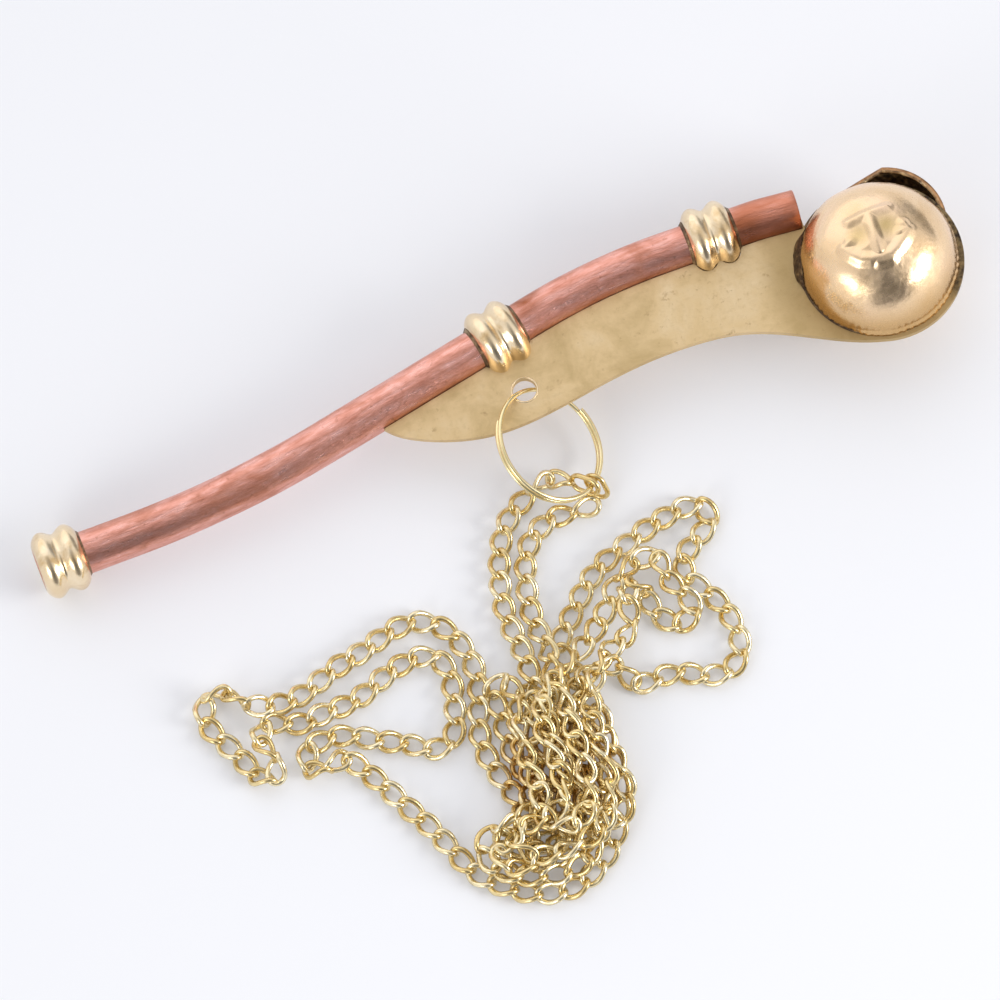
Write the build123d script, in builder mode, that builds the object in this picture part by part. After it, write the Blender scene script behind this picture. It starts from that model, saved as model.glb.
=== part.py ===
"""Boatswain's call on a neck chain, lying on its side.

Millimetres, +Z up. X runs from the mouth end to the buoy, +Y towards the gun's side and
away from the chain, and Z = 0 is the surface that it lies on. The origin is at the bottom
centre of the call and its split ring.
"""
import os
from math import asin, cos, pi, radians, sin, sqrt, tan

from build123d import *

# ---------------------------------------------------------------- driving dimensions
BUOY_CENTRE = (52.4, 0.7)       # X and Y of the buoy's centre, from the origin
BUOY_R = 10.3                   # outer radius of both domes
DOME_WALL = 0.7
FLANGE_R = 10.85                # the keel's rim between the domes

GUN_OD = 5.7
GUN_WALL = 0.6
RING_R = 4.5                    # over the beads of the mouth ring
BEAD_R = 1.5                    # radius of one bead's section
BEAD_PITCH = 3.1                # between the two beads of a ring
MOUTH_U = -116.3                # the mouth end, along the call's axis
MOUTH_RING_U = -113.2           # middles of the three ferrules, along the axis
MIDDLE_RING_U = -50.0
EXIT_RING_U = -19.3
EXIT_U = -7.4

KEEL_T = 0.9
KEEL_HOLE_D = 3.1
KEEL_HOLE = (-49.1, -0.7)

# The keel's lower edge in the lie plane, from its tip to the buoy.
KEEL_LOWER = [
    (-68.1, 0.9), (-66.8, -0.55), (-64.7, -1.95), (-60.7, -3.7), (-55.4, -4.95), (-48.5, -4.85),
    (-38.3, -3.2), (-31.5, -2.45), (-25.6, -2.45), (-20.5, -3.1), (-14.8, -5.2), (-8.0, -8.7),
    (-1.5, -10.9),
]
FLANGE_CENTRE = (0.3, -0.25)

GROOVE_DEPTH = 0.8              # between a ferrule's beads
SOLDER = 0.45                   # leg of a ferrule's solder fillet
SEAM = 0.6                      # leg of the solder round a dome

WIND_HOLE_U = -1.7              # middle of the wind hole, along the call
WIND_HOLE_V = 8.6               # its lowest reach
WIND_HOLE_L = 6.4
WIND_HOLE_W = 6.0
HOOD_R = 8.0                    # the hood behind it, and where its middle lies
HOOD_OUT = 5.0
HOOD_ANGLE = 58
HOOD_MOUTH = (0.9, 10.95)       # the corner of its mouth, past the wind hole
HOOD_SLOPE = 14                 # of the mouth's upper edge
ANCHOR_RELIEF = 0.35

WIRE_D = 0.6                    # split ring
SPLIT_RING_R = 7.75             # to the wire's centreline
COIL_PITCH = 0.64               # between the split ring's two coils
SINGLE_ARC = (-66, 50)          # the coils are single between these, round the keel's hole
RING_NORMAL = Vector(0.53, -0.10, 0.842).normalized()
RING_AIM = Vector(0.19, -0.97, 0)
LINK_WIRE_D = 0.68              # chain
LINK_LENGTH = 4.55
LINK_WIDTH = 3.15
LINK_SHIFT = 0.85               # from the split ring's wire to the middle of a link round it
LINK_A_ANGLE = -154             # round the split ring, from the keel's hole
LINK_B_ANGLE = -146
LINK_A_AIM = Vector(-0.73, 0.66, -0.21)
LINK_B_AIM = Vector(0.16, -0.60, -0.78)
CHAIN_TUBE_D = 1.6              # between the links' thickness and their width
ARC_SHARE = 0.45                # of the shorter run, that an arc may use
HEAP_HEIGHT = 6.6
LOBE_HEIGHT = 4.0

# ---------------------------------------------------------------- the plane it lies in
# The call rests on its mouth ring and on the buoy, so its own plane is pitched a little.
PITCH = asin((BUOY_R - RING_R) / -(MOUTH_RING_U - BEAD_PITCH / 2))
LIE = Plane(
    origin=(*BUOY_CENTRE, BUOY_R),
    x_dir=(cos(PITCH), 0, sin(PITCH)),
    z_dir=(-sin(PITCH), 0, cos(PITCH)),
)

os.makedirs("parts", exist_ok=True)


def write(part, name):
    """Label a finished piece and write its STEP file."""
    part.label = name
    export_step(part, f"parts/{name}.step")


# ---------------------------------------------------------------- gun
# Its centreline, in the lie plane: straight at the mouth, a long bend up and a shorter one
# back to level, then a slight droop towards the buoy.
GUN_POINTS = [(MOUTH_U, -1.65), (-89.6, -1.2), (-35.2, 10.75), (-13.0, 10.8), (EXIT_U, 10.35)]
GUN_RADII = [140, 85, 30]

with BuildLine(LIE) as gun_line:
    FilletPolyline(*GUN_POINTS, radius=GUN_RADII)
gun_path = gun_line.wire()


def swept_gun(diameter):
    """The gun's centreline swept with a circle."""
    with BuildPart() as body:
        with BuildSketch(Plane(origin=gun_path @ 0, z_dir=gun_path % 0)):
            Circle(diameter / 2)
        sweep(path=gun_path)
    return body.part


with BuildPart() as gun_tube:
    add(swept_gun(GUN_OD))
    add(swept_gun(GUN_OD - 2 * GUN_WALL), mode=Mode.SUBTRACT)
write(gun_tube.part, "gun_tube")


# ---------------------------------------------------------------- ferrules and their solder
def along_gun(u, run):
    """Plane on the gun's axis at u, its local X along straight run number run."""
    (u0, v0), (u1, v1) = GUN_POINTS[run], GUN_POINTS[run + 1]
    slope = (v1 - v0) / (u1 - u0)
    centre = LIE.from_local_coords((u, v0 + slope * (u - u0), 0))
    ahead = LIE.from_local_coords((u + 1, v0 + slope * (u + 1 - u0), 0))
    return Plane(origin=centre, x_dir=ahead - centre, z_dir=(ahead - centre).cross(LIE.z_dir))


def ferrule(plane):
    """A turned ring of two round beads with a groove between them, bored for the gun."""
    with BuildPart() as ring:
        with BuildSketch(plane):
            with Locations((-BEAD_PITCH / 2, RING_R - BEAD_R), (BEAD_PITCH / 2, RING_R - BEAD_R)):
                Circle(BEAD_R)
            Rectangle(BEAD_PITCH, RING_R - GROOVE_DEPTH, align=(Align.CENTER, Align.MIN))
            Rectangle(3 * BEAD_PITCH, GUN_OD, mode=Mode.SUBTRACT)
        revolve(axis=Axis(plane.origin, plane.x_dir))
    return ring.part


def ferrule_solder(plane, sides):
    """The thin fillets of solder where a ferrule's ends meet the gun."""
    half = BEAD_PITCH / 2 + BEAD_R * 0.94
    with BuildPart() as fillets:
        with BuildSketch(plane):
            for side in sides:
                with BuildLine():
                    Polyline(
                        (side * half, GUN_OD / 2),
                        (side * (half + SOLDER), GUN_OD / 2),
                        (side * half, GUN_OD / 2 + SOLDER),
                        close=True,
                    )
                make_face()
        revolve(axis=Axis(plane.origin, plane.x_dir))
    return fillets.part


FERRULES = {
    "mouth_ring": along_gun(MOUTH_RING_U, 0),
    "middle_ring": along_gun(MIDDLE_RING_U, 1),
    "exit_ring": along_gun(EXIT_RING_U, 2),
}
ferrules = {name: ferrule(plane) for name, plane in FERRULES.items()}


# ---------------------------------------------------------------- keel
with BuildPart() as wind_cut:
    with BuildSketch(LIE):
        with Locations((WIND_HOLE_U, WIND_HOLE_V)):
            Rectangle(WIND_HOLE_L, 6, align=(Align.CENTER, Align.MIN))
    extrude(amount=WIND_HOLE_W / 2, both=True)

with BuildPart() as keel:
    with BuildSketch(LIE):
        with BuildLine():
            lower = Spline(*KEEL_LOWER)
            Polyline(lower @ 0, GUN_POINTS[1], GUN_POINTS[2], GUN_POINTS[3], (EXIT_U, 10), (EXIT_U, 0),
                     lower @ 1)
        make_face()
        with Locations(FLANGE_CENTRE):
            Circle(FLANGE_R)
        Circle(BUOY_R - DOME_WALL, mode=Mode.SUBTRACT)
        with Locations(KEEL_HOLE):
            Circle(KEEL_HOLE_D / 2, mode=Mode.SUBTRACT)
    extrude(amount=KEEL_T / 2, both=True)
    add(swept_gun(GUN_OD), mode=Mode.SUBTRACT)
    for ring in ferrules.values():
        add(ring, mode=Mode.SUBTRACT)
    add(wind_cut.part, mode=Mode.SUBTRACT)
write(keel.part, "keel_plate")

for name, plane in FERRULES.items():
    write(ferrules[name], name)
    with BuildPart() as solder:
        add(ferrule_solder(plane, (1,) if name == "mouth_ring" else (-1, 1)))
        add(keel.part, mode=Mode.SUBTRACT)
        add(ferrules[name], mode=Mode.SUBTRACT)
    write(solder.part, name.replace("ring", "solder"))


# ---------------------------------------------------------------- buoy
def anchor_sketch():
    """A plain anchor: ring, stock, shank and two curved arms with flukes."""
    with BuildSketch(LIE.offset(BUOY_R - 3)) as outline:
        Rectangle(0.9, 7.0)
        with Locations((0, 2.1)):
            Rectangle(5.6, 0.8)
        with Locations((0, 4.1)):
            Circle(1.0)
            Circle(0.45, mode=Mode.SUBTRACT)
        with BuildLine():
            arms = ThreePointArc((-3.6, -1.4), (0, -3.9), (3.6, -1.4))
            offset(amount=0.5)
        make_face()
        for side in (-1, 1):
            with BuildLine():
                Polyline((side * 2.5, -1.5), (side * 4.4, -1.9), (side * 3.9, -0.1), close=True)
            make_face()
    return outline.sketch


def dome(side):
    """One half of the buoy, on the keel's side given by side, open at the wind hole."""
    with BuildPart() as shell:
        with Locations(LIE.location):
            Sphere(BUOY_R)
            Sphere(BUOY_R - DOME_WALL, mode=Mode.SUBTRACT)
        split(bisect_by=LIE.offset(side * KEEL_T / 2), keep=Keep.TOP if side > 0 else Keep.BOTTOM)
        add(wind_cut.part, mode=Mode.SUBTRACT)
    return shell.part


with BuildPart() as anchor:
    add(extrude(anchor_sketch(), amount=4, mode=Mode.PRIVATE))
    with Locations(LIE.location):
        Sphere(BUOY_R + ANCHOR_RELIEF, mode=Mode.INTERSECT)

with BuildPart() as front_dome:
    add(dome(1))
    with BuildPart(mode=Mode.PRIVATE) as relief:
        add(anchor.part)
        with Locations(LIE.location):
            Sphere(BUOY_R - DOME_WALL / 2, mode=Mode.SUBTRACT)
    add(relief.part)
write(front_dome.part, "buoy_front_dome")
write(dome(-1), "buoy_rear_dome")

# The rear half's edge is raised into a hood past the wind hole, and splits the jet of air.
hood_turn = radians(HOOD_ANGLE)
hood_centre = LIE.from_local_coords((HOOD_OUT * cos(hood_turn), HOOD_OUT * sin(hood_turn), 0))
mouth_turn = radians(HOOD_SLOPE)
hood_mouth = Plane(
    origin=LIE.from_local_coords((*HOOD_MOUTH, 0)),
    z_dir=LIE.y_dir * cos(mouth_turn) - LIE.x_dir * sin(mouth_turn),
)
hood_front = Plane(origin=hood_mouth.origin, z_dir=LIE.x_dir)
with BuildPart() as hood:
    with Locations(hood_centre):
        Sphere(HOOD_R)
        Sphere(HOOD_R - DOME_WALL, mode=Mode.SUBTRACT)
    split(bisect_by=hood_mouth, keep=Keep.BOTTOM)
    split(bisect_by=hood_front, keep=Keep.TOP)
    split(bisect_by=LIE.offset(KEEL_T / 2), keep=Keep.BOTTOM)
    with Locations(LIE.location):
        Sphere(BUOY_R, mode=Mode.SUBTRACT)
    add(keel.part, mode=Mode.SUBTRACT)
write(hood.part, "wind_hood")


def seam(side):
    """The fillet of solder round a dome's foot, on the keel's rim."""
    foot = sqrt(BUOY_R**2 - (KEEL_T / 2) ** 2)
    with BuildPart() as fillet_ring:
        with BuildSketch(Plane(origin=LIE.origin, x_dir=LIE.x_dir, z_dir=LIE.y_dir)):
            low, high = -side * KEEL_T / 2, -side * (KEEL_T / 2 + SEAM)
            with BuildLine():
                Polyline((foot - 0.3, low), (foot + SEAM, low), (foot - 0.3, high), close=True)
            make_face()
        revolve(axis=Axis(LIE.origin, LIE.z_dir))
        with Locations(LIE.location):
            Sphere(BUOY_R, mode=Mode.SUBTRACT)
        for cutter in (wind_cut.part, hood.part, swept_gun(GUN_OD)):
            add(cutter, mode=Mode.SUBTRACT)
    return fillet_ring.part


write(seam(1), "front_seam_solder")
write(seam(-1), "rear_seam_solder")


# ---------------------------------------------------------------- split ring
hole = LIE.from_local_coords((*KEEL_HOLE, 0))
across = RING_AIM - RING_NORMAL * RING_AIM.dot(RING_NORMAL)
RING = Plane(
    origin=hole + across.normalized() * SPLIT_RING_R,
    x_dir=-across,
    z_dir=RING_NORMAL,
)


def ring_point(angle, level=0.0, radius=SPLIT_RING_R):
    """A point at an angle round the split ring, measured from the keel's hole."""
    turn = radians(angle)
    return RING.from_local_coords((radius * cos(turn), radius * sin(turn), level))


def wire(path, diameter):
    """A round wire along an open or closed path."""
    with BuildPart() as body:
        with BuildSketch(Plane(origin=path @ 0, z_dir=path % 0)):
            Circle(diameter / 2)
        sweep(path=path)
    return body.part


with BuildPart() as split_ring:
    coil = COIL_PITCH / 2
    first, last = SINGLE_ARC
    with BuildLine() as step:
        ThreePointArc(ring_point(first, -coil), ring_point((first + last) / 2), ring_point(last, coil))
    add(wire(step.wire(), WIRE_D))
    with Locations(ring_point(first, -coil), ring_point(last, coil)):
        Sphere(WIRE_D / 2)
    for level in (-coil, coil):
        with BuildLine() as turn:
            ThreePointArc(ring_point(last, level), ring_point(180, level), ring_point(first, level))
        add(wire(turn.wire(), WIRE_D))
write(split_ring.part, "split_ring")
print("ring centre", RING.origin, "axis", RING.z_dir, "hole", hole)


# ---------------------------------------------------------------- chain
# Where the neck chain lies, link middles' height included. Both of its ends are on the split
# ring; the rest of it is heaped, with loops out to the left and to the right.
LEAD_A = [
    (4.9, -12.3, 3), (4.1, -10.6, 2), (2.5, -10.2, 1.2), (0.5, -11, 0.8), (-1.5, -12, 0.8),
    (-4, -13.5, 0.8), (-6, -16.5, 0.8), (-7.5, -20.5, 0.8), (-8.5, -24.5, 0.8), (-8.5, -28.5, 0.8),
    (-8, -32, 1.6), (-8.5, -36.5, 2.2),
]
LEFT = [
    (-15, -53, 1.6), (-15.5, -49.5, 0.8), (-16.8, -46, 0.8), (-17.5, -42.5, 0.8), (-17, -39, 0.8),
    (-15.5, -35.5, 0.8), (-14.5, -32, 0.8), (-15, -28.5, 0.8), (-16, -25.5, 0.8), (-18.5, -23, 0.8),
    (-21.5, -22.5, 0.8), (-24.5, -23.3, 0.8), (-27.5, -24.5, 0.8), (-30.5, -25, 0.8),
    (-33.5, -26, 0.8), (-36.5, -27.5, 0.8), (-39.5, -27.8, 1.4), (-42.5, -27.8, 2.4),
    (-44.5, -26.5, 2.6), (-46, -24.5, 2), (-47.2, -23.3, 1.2), (-48.8, -23.9, 0.8),
    (-49.8, -25.3, 0.8), (-50, -27, 0.8), (-49, -29.5, 0.8), (-48, -31, 0.8), (-47, -33, 0.8),
    (-46.3, -35.3, 0.9), (-45.6, -36.8, 1.2), (-44.2, -37.4, 1.9), (-43, -36.6, 2.6),
    (-43.1, -35, 3), (-43.9, -33.4, 3.1), (-44.4, -31.8, 2.6), (-43.5, -30, 1.6), (-41.5, -29.5, 1),
    (-40, -30.5, 0.8), (-38, -31.5, 0.8), (-35.5, -30.5, 0.8), (-33, -30.7, 0.8),
    (-30.5, -30.5, 0.8), (-28, -29.5, 0.8), (-25, -28, 0.8), (-22, -27.5, 0.8), (-19.5, -27.5, 0.8),
    (-18, -29.5, 0.8), (-18, -32.5, 0.8), (-19, -35.5, 0.8), (-19.5, -38.5, 0.8), (-21, -40, 0.8),
    (-23.5, -40.5, 0.8), (-25.3, -38.8, 0.8), (-27.5, -37.5, 0.8), (-30, -36.5, 0.8),
    (-32, -35, 0.8), (-34.5, -34, 0.8), (-37, -34, 0.8), (-39, -34.5, 0.8), (-39.5, -36.5, 0.8),
    (-39, -38, 1.2), (-37.5, -38.5, 2.2), (-36, -37.5, 2.4), (-34.5, -37.5, 1.4), (-33, -39, 0.8),
    (-32, -41, 0.8), (-30.5, -43.5, 0.8), (-29.2, -46.5, 0.8), (-27.5, -49.2, 0.8),
    (-26.2, -52.3, 0.8), (-25.1, -55.2, 0.8), (-23.5, -58.5, 0.8),
]
RIGHT = [
    (-3.5, -34, 0.8), (-3.5, -31.5, 0.8), (-1.3, -29.8, 0.8), (1, -27.2, 0.8), (3.2, -25, 0.8),
    (5.5, -23.5, 0.8), (8, -22.5, 0.8), (11, -21.5, 0.8), (13.5, -20.5, 0.8), (16.5, -20, 0.8),
    (18.8, -19.4, 0.8), (20.6, -20.1, 0.8), (21.4, -21.6, 0.8), (20.6, -23.2, 0.8),
    (18.8, -24.1, 0.8), (16.8, -25.2, 0.8), (15, -27, 0.8), (15.5, -29.5, 0.8), (17, -31.5, 0.8),
    (18.5, -34, 0.8), (19, -37, 0.8), (19, -40, 0.8), (17.5, -42.5, 0.8), (14.5, -43, 0.8),
    (12, -42, 0.8), (10, -40.5, 0.8), (7.5, -40.5, 0.8), (5.5, -41, 0.8), (4, -40.5, 0.8),
    (3.5, -39, 1.4), (2.5, -37.5, 2.4), (1.5, -37, 3),
]
LEAD_B = [
    (-5.5, -35, 3.6), (-5, -32, 2.2), (-5.5, -28, 0.8), (-5, -24.5, 0.8), (-4, -20.5, 0.8),
    (-2.5, -17.5, 0.8), (0.5, -15.5, 0.8), (3, -15.2, 0.8), (5.4, -16.2, 0.8), (8.3, -15.1, 1.1),
]

# The heap's outline and the lower one of its right-hand lobe, seen from above.
HEAP = [
    (-6, -31), (-9, -32), (-11.5, -34), (-14, -36.5), (-14.5, -43.5), (-14, -48), (-18, -51.5),
    (-21.5, -53), (-24, -55), (-24.5, -58.5), (-23, -61.5), (-16.5, -65), (-12.5, -65.5), (-6, -63),
    (-2, -55), (-0.5, -51), (-1, -43), (2.5, -39), (2.5, -36), (-2, -32.5),
]
LOBE = [
    (-1.5, -33.5), (2.5, -29.5), (4.5, -27), (9, -24), (12, -23.5), (13.5, -24.5), (14.5, -31.5),
    (15, -34), (13, -36), (10.5, -36.5), (8.5, -34.5), (3.5, -36), (-1, -36),
]


def end_link(angle, along):
    """A chain link round the split ring at an angle, its long axis pointing towards along."""
    at = ring_point(angle)
    tangent = RING_NORMAL.cross(at - RING.origin).normalized()
    axis = (along - tangent * along.dot(tangent)).normalized()
    plane = Plane(origin=at + axis * LINK_SHIFT, x_dir=axis, z_dir=tangent)
    side = (LINK_WIDTH - LINK_WIRE_D) / 2
    straight = (LINK_LENGTH - LINK_WIDTH) / 2
    with BuildLine(plane) as oval:
        top = Line((-straight, side), (straight, side))
        JernArc(top @ 1, top % 1, side, -180)
        Line((straight, -side), (-straight, -side))
        JernArc((-straight, -side), (-1, 0), side, -180)
    return wire(oval.wire(), LINK_WIRE_D)


write(end_link(LINK_A_ANGLE, LINK_A_AIM), "chain_end_link_a")
write(end_link(LINK_B_ANGLE, LINK_B_AIM), "chain_end_link_b")


def chain_tube(name, points):
    """The plain tube along a stretch of chain: straight runs joined by tangent arcs."""
    places = [Vector(*point) for point in points]
    radii = []
    for before, here, after in zip(places, places[1:], places[2:]):
        turn = (here - before).get_angle(after - here)
        run = min((here - before).length, (after - here).length)
        radii.append(ARC_SHARE * run / tan(radians(turn / 2)))
    with BuildLine() as route:
        FilletPolyline(*places, radius=radii)
    path = route.wire()
    tube = wire(path, CHAIN_TUBE_D)
    section = pi * CHAIN_TUBE_D**2 / 4
    print(f"{name}: length {path.length:.1f}, volume {tube.volume / (section * path.length):.4f} of section")
    print("  radii", [round(radius, 1) for radius in radii])
    write(tube, name)


chain_tube("chain_lead_a", LEAD_A)
chain_tube("chain_left_loops", LEFT)
chain_tube("chain_right_loop", RIGHT)
chain_tube("chain_lead_b", LEAD_B)

with BuildPart() as heap:
    for outline, height, bevel in ((HEAP, HEAP_HEIGHT, 2.5), (LOBE, LOBE_HEIGHT, 1.2)):
        with BuildPart(mode=Mode.PRIVATE) as layer:
            with BuildSketch():
                with BuildLine():
                    Polyline(*outline, close=True)
                make_face()
            extrude(amount=height)
            chamfer(layer.faces().sort_by(Axis.Z)[-1].edges(), bevel)
        add(layer.part)
write(heap.part, "chain_heap")
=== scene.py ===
"""Looks for the boatswain's call and its neck chain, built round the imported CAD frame."""
import bpy
import bmesh
import math
import numpy as np
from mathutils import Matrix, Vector


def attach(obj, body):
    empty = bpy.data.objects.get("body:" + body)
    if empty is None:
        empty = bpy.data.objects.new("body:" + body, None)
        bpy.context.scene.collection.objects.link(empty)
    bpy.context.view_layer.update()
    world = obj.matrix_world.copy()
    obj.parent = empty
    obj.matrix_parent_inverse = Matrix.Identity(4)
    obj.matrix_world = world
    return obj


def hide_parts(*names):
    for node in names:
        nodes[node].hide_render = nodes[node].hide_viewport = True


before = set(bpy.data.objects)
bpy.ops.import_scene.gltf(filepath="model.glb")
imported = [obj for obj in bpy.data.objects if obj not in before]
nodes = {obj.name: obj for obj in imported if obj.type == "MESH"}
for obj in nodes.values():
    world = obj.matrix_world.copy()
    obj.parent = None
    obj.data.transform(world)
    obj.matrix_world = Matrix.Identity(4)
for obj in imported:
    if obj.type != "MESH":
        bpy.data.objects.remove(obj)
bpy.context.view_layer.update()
MM = 0.001


# ---------------------------------------------------------------- camera
AZIMUTH, ELEVATION = math.radians(-19.6), math.radians(70)
AIM = Vector((-3.7, -10.3, -0.3)) * MM
CAMERA_DISTANCE = 1.264
to_camera = Vector((math.sin(AZIMUTH) * math.cos(ELEVATION),
                    -math.cos(AZIMUTH) * math.cos(ELEVATION),
                    math.sin(ELEVATION)))
camera = bpy.data.objects.new("camera", bpy.data.cameras.new("camera"))
bpy.context.scene.collection.objects.link(camera)
camera.data.lens = 350
camera.data.sensor_width = 36
camera.data.clip_start = 0.05
camera.data.clip_end = 20
camera.location = AIM + to_camera * CAMERA_DISTANCE
camera.rotation_mode = "QUATERNION"
camera.rotation_quaternion = (-to_camera).to_track_quat("-Z", "Y")
bpy.context.scene.camera = camera


# ---------------------------------------------------------------- the call's own plane
# The call lies pitched on its mouth ring and ball: u runs along it, v towards the blowing
# tube and w out of the broad face of its plate, in millimetres from the ball's centre.
BALL_R = 10.3
MOUTH_RING_R, MOUTH_RING_U = 4.5, -114.75   # of the bead it lies on
PITCH = math.asin((BALL_R - MOUTH_RING_R) / -MOUTH_RING_U)
BALL = Vector((52.4, 0.7, BALL_R)) * MM
U_DIR = Vector((math.cos(PITCH), 0, math.sin(PITCH)))
V_DIR = Vector((0, 1, 0))
W_DIR = Vector((-math.sin(PITCH), 0, math.cos(PITCH)))
DOWN = Vector((0, 0, -1))


def lie(u, v, w=0.0):
    """A place given in the call's own plane, in millimetres, as metres in the frame."""
    return BALL + (U_DIR * u + V_DIR * v + W_DIR * w) * MM


# Sizes of the call, in millimetres.
WALL = 0.7                          # of the ball and its hood
KEEL_HALF = 0.45                    # half the plate's thickness
KEEL_HOLE, KEEL_HOLE_R = (-49.1, -0.7), 1.55
HOOD_R, HOOD_OUT = 8.0, 5.0         # the hood's sphere, and how far it lies from the ball's centre
HOOD_ANGLE = math.radians(58)
HOOD_MOUTH, HOOD_SLOPE = (-0.8, 10.75), math.radians(13)
HOOD_LEAN = 0.35                    # of the mouth, towards the plate's front
HOOD_FOOT = 6.6                     # where it is cut off inside the ball
WIND_LEFT, WIND_RIGHT = -4.9, 1.5   # the wind hole's ends along u
WIND_FOOT, WIND_HALF = 8.6, 2.3     # its lowest v, and half its width


# ---------------------------------------------------------------- small helpers
def add_object(mesh):
    """A new object with a mesh, shaded smooth, in the scene."""
    mesh.polygons.foreach_set("use_smooth", [True] * len(mesh.polygons))
    obj = bpy.data.objects.new(mesh.name, mesh)
    bpy.context.scene.collection.objects.link(obj)
    return obj


def mesh_object(name, verts, faces):
    """A new object made from vertices and faces."""
    mesh = bpy.data.meshes.new(name)
    mesh.from_pydata([tuple(v) for v in verts], [], [tuple(f) for f in faces])
    mesh.validate()
    mesh.update()
    return add_object(mesh)


def grid_faces(rows, columns, first=0, close=True, flip=False):
    """Quads over rows of vertices. Each row closes on itself, and the rows do too if close is set."""
    faces = []
    for i in range(rows if close else rows - 1):
        k = (i + 1) % rows
        for j in range(columns):
            m = (j + 1) % columns
            quad = [first + i * columns + j, first + k * columns + j,
                    first + k * columns + m, first + i * columns + m]
            if flip:
                quad = [quad[0], quad[3], quad[2], quad[1]]
            faces.append(tuple(quad))
    return faces


def smooth(low, high, value):
    """0 at low and beyond it, 1 at high and beyond it, with a smooth step between."""
    t = max(0.0, min(1.0, (value - low) / (high - low)))
    return t * t * (3 - 2 * t)


def segment(u, v, a, b):
    """Distance from a point to a segment."""
    p, d = Vector((u, v)) - Vector(a), Vector(b) - Vector(a)
    t = max(0.0, min(1.0, p.dot(d) / d.length_squared))
    return (p - d * t).length


class Nodes:
    """A node material under construction, with one method for each kind of node used."""

    def __init__(self, name):
        self.material = bpy.data.materials.new(name)
        self.material.use_nodes = True
        self.tree = self.material.node_tree
        self.shader = self.tree.nodes["Principled BSDF"]
        self.coords = self.tree.nodes.new("ShaderNodeTexCoord").outputs["Object"]

    def node(self, kind, **settings):
        """A new node with some of its settings."""
        made = self.tree.nodes.new(kind)
        for key, value in settings.items():
            setattr(made, key, value)
        return made

    def link(self, source, target):
        """Join an output socket to an input socket."""
        self.tree.links.new(source, target)

    def mapped(self, scale=(1, 1, 1), rotation=(0, 0, 0), vector=None):
        """The object's coordinates, or another vector, turned and scaled."""
        made = self.node("ShaderNodeMapping")
        made.inputs["Scale"].default_value = scale
        made.inputs["Rotation"].default_value = rotation
        self.link(vector or self.coords, made.inputs["Vector"])
        return made.outputs["Vector"]

    def noise(self, vector, scale, detail=3.0, roughness=0.5, distortion=0.0):
        """Noise over a vector, from 0 to 1."""
        made = self.node("ShaderNodeTexNoise")
        made.inputs["Scale"].default_value = scale
        made.inputs["Detail"].default_value = detail
        made.inputs["Roughness"].default_value = roughness
        made.inputs["Distortion"].default_value = distortion
        self.link(vector, made.inputs["Vector"])
        return made.outputs["Fac"]

    def ramp(self, value, *stops):
        """A colour ramp through stops, each a place with a colour or a grey."""
        made = self.node("ShaderNodeValToRGB")
        elements = made.color_ramp.elements
        while len(elements) < len(stops):
            elements.new(0.5)
        for element, (place, colour) in zip(elements, stops):
            element.position = place
            if isinstance(colour, (int, float)):
                colour = (colour, colour, colour)
            element.color = (*colour, 1)
        self.link(value, made.inputs["Fac"])
        return made.outputs["Color"]

    def mix(self, factor, first, second):
        """A mix of two colours, each a tuple or a socket."""
        made = self.node("ShaderNodeMix", data_type="RGBA")
        for socket, value in ((made.inputs[0], factor), (made.inputs[6], first), (made.inputs[7], second)):
            if isinstance(value, (int, float)):
                socket.default_value = value
            elif isinstance(value, tuple):
                socket.default_value = (*value, 1)
            else:
                self.link(value, socket)
        return made.outputs[2]

    def maths(self, operation, *values):
        """The result of an operation on numbers or sockets."""
        made = self.node("ShaderNodeMath", operation=operation)
        for socket, value in zip(made.inputs, values):
            if isinstance(value, (int, float)):
                socket.default_value = value
            else:
                self.link(value, socket)
        return made.outputs[0]

    def bump(self, height, distance, strength=1.0, under=None):
        """A normal raised by a height, on top of the normal under it if there is one."""
        made = self.node("ShaderNodeBump")
        made.inputs["Strength"].default_value = strength
        made.inputs["Distance"].default_value = distance
        self.link(height, made.inputs["Height"])
        if under is not None:
            self.link(under, made.inputs["Normal"])
        return made.outputs["Normal"]

    def near(self, place, inner, outer):
        """1 within inner metres of a place, falling to 0 at outer metres."""
        reach = self.node("ShaderNodeVectorMath", operation="DISTANCE")
        self.link(self.coords, reach.inputs[0])
        reach.inputs[1].default_value = place
        return self.between(reach.outputs["Value"], outer, inner)

    def beyond(self, direction, low, high):
        """0 up to low metres from the ball's centre along a direction, 1 beyond high metres."""
        reach = self.node("ShaderNodeVectorMath", operation="DOT_PRODUCT")
        self.link(self.coords, reach.inputs[0])
        reach.inputs[1].default_value = direction
        start = BALL.dot(direction)
        return self.between(reach.outputs["Value"], start + low, start + high)

    def between(self, value, low, high):
        """0 at low and beyond it, 1 at high and beyond it, with a smooth step between."""
        made = self.node("ShaderNodeMapRange", interpolation_type="SMOOTHSTEP")
        made.inputs["From Min"].default_value = min(low, high)
        made.inputs["From Max"].default_value = max(low, high)
        made.inputs["To Min"].default_value = 0.0 if low < high else 1.0
        made.inputs["To Max"].default_value = 1.0 if low < high else 0.0
        self.link(value, made.inputs["Value"])
        return made.outputs["Result"]

    def finish(self, colour, roughness, normal=None, metallic=1.0):
        """Join the shader's inputs, and hand over the material."""
        self.link(colour, self.shader.inputs["Base Color"])
        self.link(roughness, self.shader.inputs["Roughness"])
        self.shader.inputs["Metallic"].default_value = metallic
        if normal is not None:
            self.link(normal, self.shader.inputs["Normal"])
        return self.material


def dress(obj, material):
    """Give an object, new or from the frame, one material on all its slots."""
    if obj.data.materials:
        for index in range(len(obj.data.materials)):
            obj.data.materials[index] = material
    else:
        obj.data.materials.append(material)


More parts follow.
